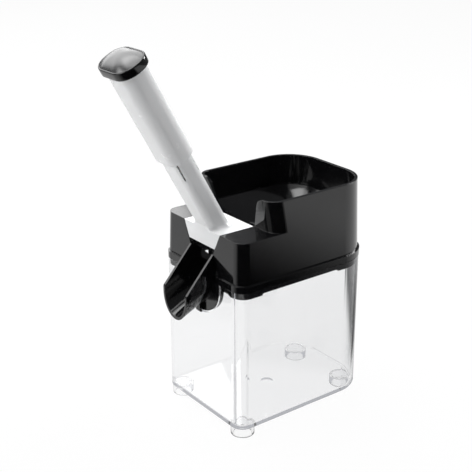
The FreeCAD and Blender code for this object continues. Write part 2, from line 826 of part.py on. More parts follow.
def guide():
    """The white guide: a hollow base in the saddle, the leaning tube and the stripper collar."""
    front = -HOUSING_DEPTH + DRAFT * (DECK_Z - FLANGE_TOP_Z)
    low = DECK_Z - PLATE_HEIGHT
    top_half = SADDLE_TOP_HALF - PLATE_FIT
    low_half = top_half - SADDLE_SLOPE * PLATE_HEIGHT
    base = prism_y(mirrored([(low_half, low, 0), (top_half, DECK_Z, 0)]), front, PLATE_BACK_Y)
    under = DECK_Z - PLATE_THICK
    side = PLATE_THICK
    room = prism_y(
        mirrored([
            (low_half - side - SADDLE_SLOPE, low - 1, 0),
            (top_half - side - SADDLE_SLOPE * PLATE_THICK, under, 1.0),
        ]),
        front + PLATE_THICK,
        PLATE_BACK_Y + 1,
    )
    base = base.cut(room)
    above = Part.makeBox(2 * WIDTH, 3 * DEPTH, 3 * DECK_Z, Vector(-WIDTH, -2 * DEPTH, under))
    tube = tilted(prism_z(tube_plan(0), -2 * TUBE_HALF_Y, TUBE_TOP)).common(above)
    collar = tilted(cylinder(STRIPPER_RADIUS, STRIPPER_LOW, SPRING_SEAT))
    body = base.fuse([tube, collar, flare(front)])
    bore = tilted(prism_z(tube_plan(-TUBE_WALL), SPRING_SEAT, TUBE_TOP + 1))
    shaft = tilted(cylinder(CORE_RADIUS + CORE_FIT, STRIPPER_LOW - 1, SPRING_SEAT + 1))
    body = body.cut(bore).cut(shaft)
    for slot in corner_bars(SLOT_WIDTH, TUBE_ROUND + 1, SLOT_LOW, TUBE_TOP + 1):
        body = body.cut(tilted(slot))
    return body.removeSplitter()


def flare(front):
    """The small flare where the tube meets the base, trimmed by the base's front face."""
    sections = []
    for lift, width in FLARE_CURVE:
        height = FLARE_HEIGHT * lift
        wire = rounded_wire([
            (x, y / math.cos(LEAN), radius)
            for x, y, radius in tube_plan(width)
        ])
        wire.translate(Vector(0, AXIS_Y - height * math.tan(LEAN), DECK_Z + height))
        sections.append(wire)
    body = Part.makeLoft(sections, True, True)
    root = rounded_wire([
        (x, y / math.cos(LEAN), radius)
        for x, y, radius in tube_plan(FLARE_WIDTH)
    ])
    root.translate(Vector(0, AXIS_Y, DECK_Z - PLATE_THICK / 2))
    body = body.fuse(Part.Face(root).extrude(Vector(0, 0, PLATE_THICK / 2)))
    ahead = Part.makeBox(2 * WIDTH, DEPTH, DECK_Z, Vector(-WIDTH, front - DEPTH, DECK_Z / 2))
    return body.cut(ahead)


def stop_ring():
    """The ring on top of the tube that closes the slots and stops the plunger's return."""
    low = TUBE_TOP
    high = TUBE_TOP + STOP_THICK
    ring = prism_z(tube_plan(0), low, high)
    hole = cylinder(CORE_RADIUS + 4 * CORE_FIT, low - 1, high + 1)
    return tilted(ring.cut(hole))


def plunger_core():
    """The rod inside the tube, with a slider whose four keys run in the tube's slots."""
    rod = cylinder(CORE_RADIUS, PUNCH_TOP, SLEEVE_WEB_LOW)
    key_high = SLOT_KEY_LOW + KEY_HEIGHT
    slider = prism_z(tube_plan(-TUBE_WALL - SLIDER_FIT), SLOT_KEY_LOW, key_high)
    body = rod.fuse(slider)
    reach = TUBE_ROUND + SLEEVE_FIT - KEY_END_GAP
    for key in corner_bars(SLOT_WIDTH - 2 * KEY_FIT, reach, SLOT_KEY_LOW, key_high):
        body = body.fuse(key)
    socket = cylinder(PUNCH_STEM + CORE_FIT, PUNCH_TOP - 1, PUNCH_TOP + PUNCH_STEM_LENGTH + 0.5)
    pilot = cylinder(SCREW_RADIUS, SLEEVE_WEB_LOW - 12, SLEEVE_WEB_LOW + 1)
    return tilted(body.cut(socket).cut(pilot).removeSplitter())


def punch():
    """The cross-shaped punch with a notched tip."""
    stem = cylinder(PUNCH_STEM, PUNCH_TOP - 1, PUNCH_TOP + PUNCH_STEM_LENGTH)
    heart = cylinder(PUNCH_HEART, PUNCH_TIP + 3, PUNCH_TOP)
    body = stem.fuse(heart)
    for turn in (0, 90):
        blade = Part.makeBox(
            2 * CORE_RADIUS,
            PUNCH_BLADE,
            PUNCH_TOP - PUNCH_TIP,
            Vector(-CORE_RADIUS, -PUNCH_BLADE / 2, PUNCH_TIP),
        )
        blade.rotate(Vector(), Vector(0, 0, 1), turn)
        body = body.fuse(blade)
    round_bar = cylinder(CORE_RADIUS, PUNCH_TIP, PUNCH_TOP + PUNCH_STEM_LENGTH)
    body = body.common(round_bar)
    dish = Part.makeCone(CORE_RADIUS - 0.6, 0.4, 2.6, Vector(0, 0, PUNCH_TIP))
    return tilted(body.cut(dish).removeSplitter())


def grip_sleeve():
    """The white sleeve that the hand pushes down over the tube."""
    outside = prism_z(tube_plan(SLEEVE_FIT + SLEEVE_WALL), SLEEVE_LOW, SLEEVE_TOP)
    outside = outside.makeFillet(SLEEVE_EDGE, edges_at(outside, SLEEVE_LOW))
    inner = tube_plan(SLEEVE_FIT)
    room = prism_z(inner, SLEEVE_LOW - 1, SLEEVE_WEB_LOW)
    spigot = prism_z(inner, SLEEVE_TOP, SLEEVE_TOP + CAP_POCKET - 0.3)
    hole = cylinder(SCREW_RADIUS + RING_FIT, SLEEVE_WEB_LOW - 1, SLEEVE_TOP + CAP_POCKET)
    head_room = cylinder(SCREW_HEAD_RADIUS + 0.3, SLEEVE_TOP, SLEEVE_TOP + CAP_POCKET)
    body = outside.fuse(spigot).cut(room).cut(hole).cut(head_room)
    return tilted(body.removeSplitter())


def handle_screw():
    """The screw under the cap that ties the sleeve to the core."""
    shank = cylinder(SCREW_RADIUS, SLEEVE_WEB_LOW - 10, SLEEVE_TOP)
    head = cylinder(SCREW_HEAD_RADIUS, SLEEVE_TOP, SLEEVE_TOP + SCREW_HEAD_HEIGHT)
    return tilted(shank.fuse(head))


def cap_ring():
    """The black cap's rim, with a pocket for the sleeve's end and a recess for the cover."""
    top = SLEEVE_TOP + CAP_HEIGHT
    body = prism_z(oblong(CAP_HALF_X, CAP_HALF_Y, CAP_ROUND), SLEEVE_TOP, top)
    body = body.makeFillet(CAP_EDGE, edges_at(body, SLEEVE_TOP) + edges_at(body, top))
    pocket = prism_z(tube_plan(SLEEVE_FIT + SPIGOT_FIT), SLEEVE_TOP - 1, SLEEVE_TOP + CAP_POCKET)
    recess = prism_z(cover_plan(COVER_FIT), top - COVER_SINK, top + 1)
    return tilted(body.cut(pocket).cut(recess))


def cover_plan(outset):
    """The cover's plan, which leaves a narrow rim of the cap around it."""
    inset = COVER_INSET - outset
    return oblong(CAP_HALF_X - inset, CAP_HALF_Y - inset, CAP_ROUND - inset)


def cap_cover():
    """The cover that closes the cap, domed along and across."""
    rim = SLEEVE_TOP + CAP_HEIGHT
    top = rim + COVER_DOME
    low = rim - COVER_SINK
    half_x = CAP_HALF_X - COVER_INSET
    half_y = CAP_HALF_Y - COVER_INSET
    bend_x = (half_x ** 2 + COVER_DOME ** 2) / (2 * COVER_DOME)
    bend_y = (half_y ** 2 + COVER_DOME ** 2) / (2 * COVER_DOME)
    reach = half_y + COVER_FIT
    edge = top - bend_y + math.sqrt(bend_y ** 2 - reach ** 2)
    # The slice across the middle swings about an axis far below, which domes it along X as well
    slice_wire = Part.Wire([
        Part.Arc(Vector(0, -reach, edge), Vector(0, 0, top), Vector(0, reach, edge)).toShape(),
        Part.makeLine(Vector(0, reach, edge), Vector(0, reach, low - 1)),
        Part.makeLine(Vector(0, reach, low - 1), Vector(0, -reach, low - 1)),
        Part.makeLine(Vector(0, -reach, low - 1), Vector(0, -reach, edge)),
    ])
    face = Part.Face(slice_wire)
    pivot = Vector(0, 0, top - bend_x)
    face.rotate(pivot, Vector(0, 1, 0), -DOME_SWEEP / 2)
    dome = face.revolve(pivot, Vector(0, 1, 0), DOME_SWEEP)
    return tilted(prism_z(cover_plan(0), low, top).common(dome))


def return_spring():
    """The return spring around the core, between the tube's floor and the hub."""
    high = SLOT_KEY_LOW
    body = cylinder(SPRING_OUTER, SPRING_SEAT, high)
    bore = cylinder(SPRING_OUTER - SPRING_WIRE, SPRING_SEAT - 1, high + 1)
    return tilted(body.cut(bore))


NODES = {
    "container": container,
    "head_housing": housing,
    "feed_tray": feed_tray,
    "tray_screws": tray_screws,
    "seat_ring": seat_ring,
    "chute": chute,
    "guide": guide,
    "stop_ring": stop_ring,
    "return_spring": return_spring,
    "plunger_core": plunger_core,
    "punch": punch,
    "grip_sleeve": grip_sleeve,
    "handle_screw": handle_screw,
    "cap_ring": cap_ring,
    "cap_cover": cap_cover,
}

os.makedirs("parts", exist_ok=True)
shapes = {name: make() for name, make in NODES.items()}
boxes = [shape.optimalBoundingBox(False, False) for shape in shapes.values()]
front_y = min(box.YMin for box in boxes)
back_y = max(box.YMax for box in boxes)
origin_shift = -(front_y + back_y) / 2
print("origin shift", round(origin_shift, 3))
for name, shape in shapes.items():
    shape.translate(Vector(0, origin_shift, 0))
    box = shape.optimalBoundingBox(False, False)
    print(
        name,
        "solids", len(shape.Solids),
        "valid", shape.isValid(),
        "volume", round(shape.Volume, 1),
        "box", [round(v, 1) for v in (box.XMin, box.YMin, box.ZMin, box.XMax, box.YMax, box.ZMax)],
    )
    shape.exportStep("parts/" + name + ".step")
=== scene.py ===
# %% [markdown]
# # A cherry pitter, dressed from its imported model
#
# The imported model gives every rigid piece its shape and place. Here the pieces get their
# finish, the small soft shapes that a mould leaves, a studio and a camera. The first cell
# loads the model.

# %% Load the imported model
import math

import bmesh
import bpy
from mathutils import Matrix, Vector


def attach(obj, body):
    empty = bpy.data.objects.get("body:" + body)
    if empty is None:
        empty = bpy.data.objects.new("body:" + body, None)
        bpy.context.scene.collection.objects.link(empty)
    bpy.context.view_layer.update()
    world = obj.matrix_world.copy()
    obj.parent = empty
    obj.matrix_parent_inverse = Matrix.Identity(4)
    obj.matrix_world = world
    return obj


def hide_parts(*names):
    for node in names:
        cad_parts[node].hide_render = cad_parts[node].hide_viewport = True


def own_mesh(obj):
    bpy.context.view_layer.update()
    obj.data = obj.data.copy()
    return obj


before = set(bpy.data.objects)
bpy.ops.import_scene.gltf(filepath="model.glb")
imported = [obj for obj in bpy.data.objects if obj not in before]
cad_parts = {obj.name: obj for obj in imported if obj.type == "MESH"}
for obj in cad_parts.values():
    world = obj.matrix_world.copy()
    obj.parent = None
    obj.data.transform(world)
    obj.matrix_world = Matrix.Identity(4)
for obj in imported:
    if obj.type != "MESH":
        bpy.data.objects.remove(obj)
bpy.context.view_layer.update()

# %% [markdown]
# The camera comes first, because it decides which surfaces need the most care. Its place
# and its long lens were fitted to the photograph's straight edges. It looks down by about
# 21 degrees from the front right, and the lens is given for a 36 mm wide sensor.
#
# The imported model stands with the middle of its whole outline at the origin. Places that
# were measured from the container's middle get ORIGIN_SHIFT added to their Y.

# %% Camera
ORIGIN_SHIFT = 0.036215
VIEW_TURN, VIEW_DOWN, VIEW_ROLL = 52.885, 21.469, -0.09
camera_data = bpy.data.cameras.new("studio_camera")
camera_data.lens = 77.79
camera_data.sensor_width = 36.0
camera_data.clip_end = 20.0
camera = bpy.data.objects.new("studio_camera", camera_data)
bpy.context.scene.collection.objects.link(camera)
turn = Matrix.Rotation(math.radians(VIEW_TURN), 4, "Z")
tip = Matrix.Rotation(math.radians(90 - VIEW_DOWN), 4, "X")
roll = Matrix.Rotation(math.radians(VIEW_ROLL), 4, "Z")
place = Matrix.Translation((0.581156, -0.472823 + ORIGIN_SHIFT, 0.431701))
camera.matrix_world = place @ turn @ tip @ roll
bpy.context.scene.camera = camera
print("camera at", [round(value, 3) for value in camera.location])

# %% [markdown]
# Materials are built from a few nodes each. The first helper makes a material with a
# Principled shader and sets the plain sockets on it, so each finish below is a short list
# of numbers. The other two add a node and link two nodes, in a material or in the surround.

# %% Helpers for nodes
def new_finish(name, colour, roughness, **sockets):
    """A material with a Principled shader whose plain values are set on its own sockets."""
    material = bpy.data.materials.new(name)
    material.use_nodes = True
    shader = material.node_tree.nodes["Principled BSDF"]
    shader.inputs["Base Color"].default_value = (*colour, 1.0)
    shader.inputs["Roughness"].default_value = roughness
    for socket, value in sockets.items():
        shader.inputs[socket.replace("_", " ")].default_value = value
    return material


def add_node(owner, kind, **settings):
    """Adds a node to a material or a world and sets its properties."""
    node = owner.node_tree.nodes.new(kind)
    for setting, value in settings.items():
        setattr(node, setting, value)
    return node


def link(owner, source, source_socket, target, target_socket):
    """Links two nodes by the names or the numbers of their sockets."""
    owner.node_tree.links.new(source.outputs[source_socket], target.inputs[target_socket])


print("node helpers ready")

# %% [markdown]
# Moulded plastic is never quite even. One helper lets the roughness drift, and another
# bends the normals by a shallow wave and by the small rounding that every edge has. Both
# read the same kind of noise, whose values hardly leave the range named first.

# %% Helpers for uneven surfaces
NOISE_LOW, NOISE_HIGH = 0.3, 0.7


def cloudy(material, scale, detail=3.0):
    """A noise texture on the object's own coordinates."""
    place_node = add_node(material, "ShaderNodeTexCoord")
    noise = add_node(material, "ShaderNodeTexNoise")
    noise.inputs["Scale"].default_value = scale
    noise.inputs["Detail"].default_value = detail
    link(material, place_node, "Object", noise, "Vector")
    return noise


def vary_roughness(material, scale, low, high):
    """Lets the roughness wander between two values, as on a moulded and handled surface."""
    noise = cloudy(material, scale)
    spread = add_node(material, "ShaderNodeMapRange")
    spread.inputs["From Min"].default_value = NOISE_LOW
    spread.inputs["From Max"].default_value = NOISE_HIGH
    spread.inputs["To Min"].default_value = low
    spread.inputs["To Max"].default_value = high
    link(material, noise, "Fac", spread, "Value")
    link(material, spread, "Result", material.node_tree.nodes["Principled BSDF"], "Roughness")


def soft_relief(material, scale, height, edge):
    """Bends the normals a little: a wavy moulded face, and edges rounded by a small radius."""
    rounding = add_node(material, "ShaderNodeBevel", samples=6)
    rounding.inputs["Radius"].default_value = edge
    noise = cloudy(material, scale, 2.0)
    bump = add_node(material, "ShaderNodeBump")
    bump.inputs["Strength"].default_value = 1.0
    bump.inputs["Distance"].default_value = height
    link(material, noise, "Fac", bump, "Height")
    link(material, rounding, "Normal", bump, "Normal")
    link(material, bump, "Normal", material.node_tree.nodes["Principled BSDF"], "Normal")


print("surface helpers ready")

# %% [markdown]
# The head, the chute and the cap's ring are black plastic from a polished mould. Nearly all
# of their light is reflection, so the colour stays almost black, the roughness is low, and a
# very shallow, wide wave keeps the reflections from looking like a mirror's.

# %% Black gloss plastic
black_gloss = new_finish("black_gloss", (0.004, 0.004, 0.0045), roughness=0.10, IOR=1.5)
vary_roughness(black_gloss, scale=35.0, low=0.07, high=0.13)
soft_relief(black_gloss, scale=22.0, height=0.00004, edge=0.0005)
print("black gloss ready")

# %% [markdown]
# The domed cover of the cap is nearly black too, with a satin surface. Its reflections are
# blurred into one soft gradient. The punch wears the same finish as painted shade.

# %% Black satin plastic
black_satin_and_painted_shade = new_finish("black_satin_and_painted_shade", (0.014, 0.014, 0.015), roughness=0.3, IOR=1.85)
vary_roughness(black_satin_and_painted_shade, scale=50.0, low=0.26, high=0.32)
soft_relief(black_satin_and_painted_shade, scale=30.0, height=0.00002, edge=0.0003)
print("black satin ready")

# %% [markdown]
# The guide, its stop ring and the grip are white plastic with a satin shine. The roughness
# drifts a little over the surface, as it does where the melt has flowed.

# %% White satin plastic
white_satin = new_finish("white_satin", (0.78, 0.785, 0.79), roughness=0.26, IOR=1.49)
vary_roughness(white_satin, scale=60.0, low=0.255, high=0.275)
print("white satin ready")

# %% [markdown]
# The container is clear, polished plastic. It is a shell with two real faces, so light
# bends at both of them and the edges turn dark or bright by themselves. A shadow ray is
# let through, since a clear box on a pale floor throws almost no shadow.

# %% Clear plastic
clear_plastic = new_finish(
    "clear_plastic", (0.975, 0.977, 0.98), roughness=0.02, IOR=1.5, Transmission_Weight=1.0
)
soft_relief(clear_plastic, scale=18.0, height=0.00002, edge=0.0004)
clear_nodes = clear_plastic.node_tree.nodes
ray_kind = add_node(clear_plastic, "ShaderNodeLightPath")
let_through = add_node(clear_plastic, "ShaderNodeBsdfTransparent")
let_through.inputs["Color"].default_value = (0.93, 0.94, 0.95, 1.0)
by_ray = add_node(clear_plastic, "ShaderNodeMixShader")
link(clear_plastic, ray_kind, "Is Shadow Ray", by_ray, "Fac")
link(clear_plastic, clear_nodes["Principled BSDF"], 0, by_ray, 1)
link(clear_plastic, let_through, 0, by_ray, 2)
print("clear plastic's surface ready")

# %% [markdown]
# A ray that is caught in a wall and has bounced many times gets a painted glow of pale grey,
# standing in for the mean light of what it would meet outside, so it is not black. The plastic
# also swallows a little light on the way, so a long path along a wall comes out grey, while
# the short way through stays clear.

# %% Light inside clear walls
MANY_BOUNCES = 5.5
caught = add_node(clear_plastic, "ShaderNodeMath", operation="GREATER_THAN")
caught.inputs[1].default_value = MANY_BOUNCES
link(clear_plastic, ray_kind, "Ray Depth", caught, 0)
# painted light: a pale grey glow stands in for the light a caught ray would meet outside
painted_grey_glow = add_node(clear_plastic, "ShaderNodeEmission")
painted_grey_glow.inputs["Color"].default_value = (0.58, 0.59, 0.62, 1.0)
by_depth = add_node(clear_plastic, "ShaderNodeMixShader")
link(clear_plastic, caught, "Value", by_depth, "Fac")
link(clear_plastic, by_ray, 0, by_depth, 1)
link(clear_plastic, painted_grey_glow, 0, by_depth, 2)
link(clear_plastic, by_depth, 0, clear_nodes["Material Output"], "Surface")
swallow = add_node(clear_plastic, "ShaderNodeVolumeAbsorption")
swallow.inputs["Color"].default_value = (0.40, 0.40, 0.42, 1.0)
swallow.inputs["Density"].default_value = 7.0
link(clear_plastic, swallow, 0, clear_nodes["Material Output"], "Volume")
print("clear plastic ready")

# %% [markdown]
# Three small finishes remain. The seat's ring is soft and matt. The screws and the spring
# are bright steel, brushed a little by their making. The rod inside the tube is coloured
# brown as painted shade, for the warm shade inside the tube that shows through the slots.

# %% Ring, steel and rod
soft_grey = new_finish("soft_grey", (0.42, 0.43, 0.44), roughness=0.55, IOR=1.41)
vary_roughness(soft_grey, scale=90.0, low=0.45, high=0.65)
soft_relief(soft_grey, scale=250.0, height=0.00003, edge=0.0003)

bright_steel = new_finish("bright_steel", (0.62, 0.62, 0.63), roughness=0.28, Metallic=1.0)
vary_roughness(bright_steel, scale=400.0, low=0.2, high=0.38)
soft_relief(bright_steel, scale=500.0, height=0.00001, edge=0.0002)

# painted shade: brown stands in for the warm shade inside the tube, seen through the slots
rod_painted_warm_shade = new_finish("rod_painted_warm_shade", (0.72, 0.36, 0.15), roughness=0.35, IOR=1.5)
vary_roughness(rod_painted_warm_shade, scale=80.0, low=0.3, high=0.42)
soft_relief(rod_painted_warm_shade, scale=60.0, height=0.00002, edge=0.0002)
print("small finishes ready")

# %% [markdown]
# Every imported node gets its finish by its own name. The node's mesh stays as it is, and
# only its material slots change. The punch is dressed dark as painted shade, because nothing
# pale shows in the shaded gate.

# %% Dress the imported nodes
finish_of = {
    "container": clear_plastic,
    "head_housing": black_gloss,
    "feed_tray": black_gloss,
    "chute": black_gloss,
    "cap_ring": black_gloss,
    "cap_cover": black_satin_and_painted_shade,
    "guide": white_satin,
    "stop_ring": white_satin,
    "grip_sleeve": white_satin,
    # painted shade: the punch is dressed dark for the shade in the gate
    "punch": black_satin_and_painted_shade,
    "plunger_core": rod_painted_warm_shade,
    "seat_ring": soft_grey,
    "tray_screws": bright_steel,
    "handle_screw": bright_steel,
    "return_spring": bright_steel,
}
for node_name, finish in finish_of.items():
    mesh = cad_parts[node_name].data
    mesh.materials.clear()
    mesh.materials.append(finish)
print("dressed", len(finish_of), "nodes")

# %% [markdown]
# ## Pieces modelled here
#
# Pieces around the plunger are modelled upright, as on a lathe, and then leaned onto the
# plunger's axis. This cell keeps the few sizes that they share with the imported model, in
# metres. The two of the sleeve are counted along the axis from the deck.

# %% The plunger's axis
AXIS_LEAN = math.radians(29.05)
AXIS_FOOT = Vector((0.0, -0.0545 + ORIGIN_SHIFT, 0.160))
SLEEVE_LOW, SLEEVE_TOP = 0.0686, 0.1458
print("axis leans", round(math.degrees(AXIS_LEAN), 2), "degrees")

# %% [markdown]
# The pieces are shaped in edit mode. These helpers keep the steps readable: one clears the
# selection before a primitive is added, and one picks faces, edges or vertices by a rule.

# %% Helpers for adding and picking
def only(piece):
    """Selects one object and nothing else."""
    bpy.ops.object.select_all(action="DESELECT")
    piece.select_set(True)
    bpy.context.view_layer.objects.active = piece


def start_piece(add, name, **settings):
    """Adds a primitive with nothing else selected and returns it."""
    bpy.ops.object.select_all(action="DESELECT")
    add(**settings)
    piece = bpy.context.active_object
    piece.name = name
    return piece


def pick(piece, faces=None, edges=None, verts=None):
    """In edit mode, selects only the faces, edges or vertices for which a rule holds."""
    mesh = bmesh.from_edit_mesh(piece.data)
    for part in (mesh.verts, mesh.edges, mesh.faces):
        for element in part:
            element.select = False
    mesh.select_flush(False)
    chosen = mesh.faces if faces else mesh.edges if edges else mesh.verts
    rule = faces or edges or verts
    count = 0
    for element in chosen:
        if rule(element):
            element.select_set(True)
            count += 1
    bmesh.update_edit_mesh(piece.data)
    return count


print("picking helpers ready")

# %% [markdown]
# The next helpers bake an object's place into its mesh, shade it, and make the block with
# rounded standing edges that the grip, the cap's ring and its cover start from.

# %% Helpers for placing and shading
def settle(piece, leaning=False):
    """Bakes an object's place into its mesh, leaned onto the plunger's axis if asked."""
    only(piece)
    bpy.ops.object.transform_apply(location=True, rotation=True, scale=True)
    if leaning:
        piece.rotation_euler = (AXIS_LEAN, 0, 0)
        piece.location = AXIS_FOOT
        bpy.ops.object.transform_apply(location=True, rotation=True, scale=True)


def smooth(piece, degrees):
    """Shades smooth except over edges sharper than an angle."""
    only(piece)
    bpy.ops.object.shade_smooth_by_angle(angle=math.radians(degrees))


def height_of(edge):
    """How far an edge's two ends lie apart in Z."""
    return abs(edge.verts[0].co.z - edge.verts[1].co.z)


def oblong_block(name, half_x, half_y, corner, low, high, segments):
    """An upright block whose four standing edges are rounded, left in edit mode."""
    block = start_piece(
        bpy.ops.mesh.primitive_cube_add, name, size=1.0, location=(0, 0, (low + high) / 2)
    )
    block.scale = (2 * half_x, 2 * half_y, high - low)
    bpy.ops.object.transform_apply(location=True, rotation=True, scale=True)
    bpy.ops.object.mode_set(mode="EDIT")
    bpy.ops.mesh.select_mode(type="EDGE")
    pick(block, edges=lambda edge: height_of(edge) > 0.5 * (high - low))
    bpy.ops.mesh.bevel(offset=corner, segments=segments, affect="EDGES")
    return block


print("placing helpers ready")

# %% [markdown]
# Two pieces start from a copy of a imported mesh. The copy's vertices are merged, and the
# merged mesh would then shade its plain faces as if they swelled towards every rounded
# edge. So each face is asked first whether it is plain, which shows in its corner normals.
# Plain faces are shaded flat, the others smooth, and real creases are marked sharp.

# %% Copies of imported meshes
PLAIN_COSINE = 0.99998
MERGE_DISTANCE = 0.000002
CREASE = math.radians(30)


def merged_copy(name, node_name):
    """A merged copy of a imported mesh, left in edit mode with nothing selected."""
    piece = bpy.data.objects.new(name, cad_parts[node_name].data.copy())
    bpy.context.scene.collection.objects.link(piece)
    only(piece)
    normals = piece.data.corner_normals
    curved = [
        min(normals[corner].vector.dot(face.normal) for corner in face.loop_indices)
        < PLAIN_COSINE
        for face in piece.data.polygons
    ]
    piece.data.polygons.foreach_set("use_smooth", curved)
    bpy.ops.mesh.customdata_custom_splitnormals_clear()
    bpy.ops.object.mode_set(mode="EDIT")
    bpy.ops.mesh.select_mode(type="VERT")
    bpy.ops.mesh.select_all(action="SELECT")
    bpy.ops.mesh.remove_doubles(threshold=MERGE_DISTANCE)
    bpy.ops.mesh.select_mode(type="EDGE")
    bpy.ops.mesh.select_all(action="DESELECT")
    bpy.ops.mesh.edges_select_sharp(sharpness=CREASE)
    bpy.ops.mesh.mark_sharp()
    bpy.ops.mesh.select_mode(type="VERT")
    bpy.ops.mesh.select_all(action="DESELECT")
    return piece


print("copy helper ready")

# %% [markdown]
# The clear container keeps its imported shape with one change. In the photograph the front
# corners bend the view like a strong lens and show as two fine standing lines. That comes
# from inner corners that are sharper than the outer ones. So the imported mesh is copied,
# and the vertices of each inner front corner are drawn together towards the point where
# the two inner walls would meet. This is done ring by ring, because the rings near the
# floor have a smaller radius.

# %% Clear container
CORNER_X, CORNER_Y = 0.0395, -0.05675 + ORIGIN_SHIFT
INNER_RADIUS, NEW_RADIUS = 0.0083, 0.0060
FLOOR_RADIUS, FLOOR_TOP = 0.0068, 0.0097
SLACK = 1e-5
clear_box = merged_copy("clear_box", "container")


def inner_ring(vertex):
    """A corner vertex's side and ring radius, or None away from the inner front corners."""
    out = abs(vertex.co.x) - CORNER_X
    down = CORNER_Y - vertex.co.y
    radius = math.hypot(out, down)
    near = out > -SLACK and down > -SLACK and vertex.co.z > FLOOR_TOP - 5 * SLACK
    if near and FLOOR_RADIUS - 2 * SLACK < radius < INNER_RADIUS + 2 * SLACK:
        return (1 if vertex.co.x > 0 else -1, round(radius, 5))
    return None


rings = {inner_ring(vertex) for vertex in bmesh.from_edit_mesh(clear_box.data).verts}
rings = sorted(ring for ring in rings if ring)
closer = NEW_RADIUS / INNER_RADIUS
drawn_in = 0
for side, radius in rings:
    drawn_in += pick(clear_box, verts=lambda vertex: inner_ring(vertex) == (side, radius))
    meeting_point = (side * (CORNER_X + radius), CORNER_Y - radius, 0)
    bpy.ops.transform.resize(value=(closer, closer, 1.0), center_override=meeting_point)
bpy.ops.object.mode_set(mode="OBJECT")
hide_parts("container")
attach(clear_box, "container")
print("clear box", len(clear_box.data.polygons), "faces,", drawn_in, "vertices drawn in")

# %% [markdown]
# In the photograph both front cheeks of the head reach down to the flange close beside the
# chute. The dark wedge to the chute's right is read as its mirror image in the glossy cheek.
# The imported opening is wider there. So the head's mesh is copied too, and the lower corners
# of its front opening are moved inwards, which lets the cheeks and the flange run on.

# %% Head shell
OPENING_HALF, NEW_OPENING_HALF = 0.0365, 0.0230
OPENING_EDGE = 0.0351
OPENING_LOW, OPENING_HIGH = 0.1215, 0.1326
FRONT_WALL = -0.0624 + ORIGIN_SHIFT
head_shell = merged_copy("head_shell", "head_housing")


def opening_side(vertex):
    """The side of the front opening whose lower corner a vertex belongs to, or 0."""
    at_edge = OPENING_EDGE < abs(vertex.co.x) < OPENING_HALF + SLACK
    in_front = vertex.co.y < FRONT_WALL
    if at_edge and in_front and OPENING_LOW < vertex.co.z < OPENING_HIGH:
        return 1 if vertex.co.x > 0 else -1
    return 0


for side in (-1, 1):
    moved = pick(head_shell, verts=lambda vertex: opening_side(vertex) == side)
    inwards = side * (NEW_OPENING_HALF - OPENING_HALF)
    bpy.ops.transform.translate(value=(inwards, 0, 0))
    print("side", side, "moved", moved, "vertices")
bpy.ops.object.mode_set(mode="OBJECT")
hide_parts("head_housing")
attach(head_shell, "head")

# %% [markdown]
# The grip is an oblong tube with a wall of 2.3 mm and a closed top. A block with rounded
# standing edges gets a rim by insetting its lower face, and that face is pushed up into
# the block. The lower rim is rounded over, which draws the soft bright line at its end.

# %% Grip sleeve
GRIP_HALF_X, GRIP_HALF_Y, GRIP_CORNER = 0.01495, 0.01105, 0.00865
GRIP_WALL, GRIP_END, GRIP_RIM = 0.0023, 0.0034, 0.0009


def at_low_rim(edge):
    """Whether an edge lies on the grip's lower end and borders on a wall."""
    is_low = max(vertex.co.z for vertex in edge.verts) < SLEEVE_LOW + SLACK
    by_wall = any(abs(face.normal.z) < 0.5 for face in edge.link_faces)
    return is_low and len(edge.link_faces) == 2 and by_wall


grip = oblong_block(
    "grip", GRIP_HALF_X, GRIP_HALF_Y, GRIP_CORNER, SLEEVE_LOW, SLEEVE_TOP, segments=14
)
bpy.ops.mesh.select_mode(type="FACE")
pick(grip, faces=lambda face: face.normal.z < -0.9)
bpy.ops.mesh.inset(thickness=GRIP_WALL)
bpy.ops.mesh.extrude_region_move(
    TRANSFORM_OT_translate={"value": (0, 0, SLEEVE_TOP - GRIP_END - SLEEVE_LOW)}
)
bpy.ops.mesh.select_mode(type="EDGE")
pick(grip, edges=at_low_rim)
bpy.ops.mesh.bevel(offset=GRIP_RIM, segments=4, affect="EDGES")
bpy.ops.object.mode_set(mode="OBJECT")
settle(grip, leaning=True)
smooth(grip, degrees=35)
grip.data.materials.append(white_satin)
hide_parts("grip_sleeve")
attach(grip, "plunger")
print("grip", len(grip.data.polygons), "faces")

# %% [markdown]
# The cap is a black ring with a shallow recess for its cover. Its rims are rounded, and
# the narrow groove between ring and cover is what shows as a fine dark line.

# %% Cap ring
CAP_HIGH = SLEEVE_TOP + 0.0066
CAP_HALF_X, CAP_HALF_Y, CAP_CORNER = 0.0196, 0.0135, 0.0124
CAP_RIM, CAP_LIP, CAP_RECESS = 0.0010, 0.00025, 0.0014
cap = oblong_block(
    "cap_rim", CAP_HALF_X, CAP_HALF_Y, CAP_CORNER, SLEEVE_TOP, CAP_HIGH, segments=18
)
pick(cap, edges=lambda edge: height_of(edge) < 1e-6)
bpy.ops.mesh.bevel(offset=CAP_RIM, segments=4, affect="EDGES")
bpy.ops.mesh.select_mode(type="FACE")
pick(cap, faces=lambda face: face.normal.z > 0.95 and len(face.verts) > 8)
bpy.ops.mesh.inset(thickness=CAP_LIP)
bpy.ops.mesh.extrude_region_move(TRANSFORM_OT_translate={"value": (0, 0, -CAP_RECESS)})
bpy.ops.object.mode_set(mode="OBJECT")
settle(cap, leaning=True)
smooth(cap, degrees=35)
cap.data.materials.append(black_gloss)
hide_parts("cap_ring")
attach(cap, "plunger")
print("cap rim", len(cap.data.polygons), "faces")

# %% [markdown]
# The cover is domed along and across, nearly flat in its middle and falling faster towards
# its rim. Its top face is extruded again and again, each time a little smaller and a
# little higher, so that the rings follow that bow, and the last ring closes in one point.

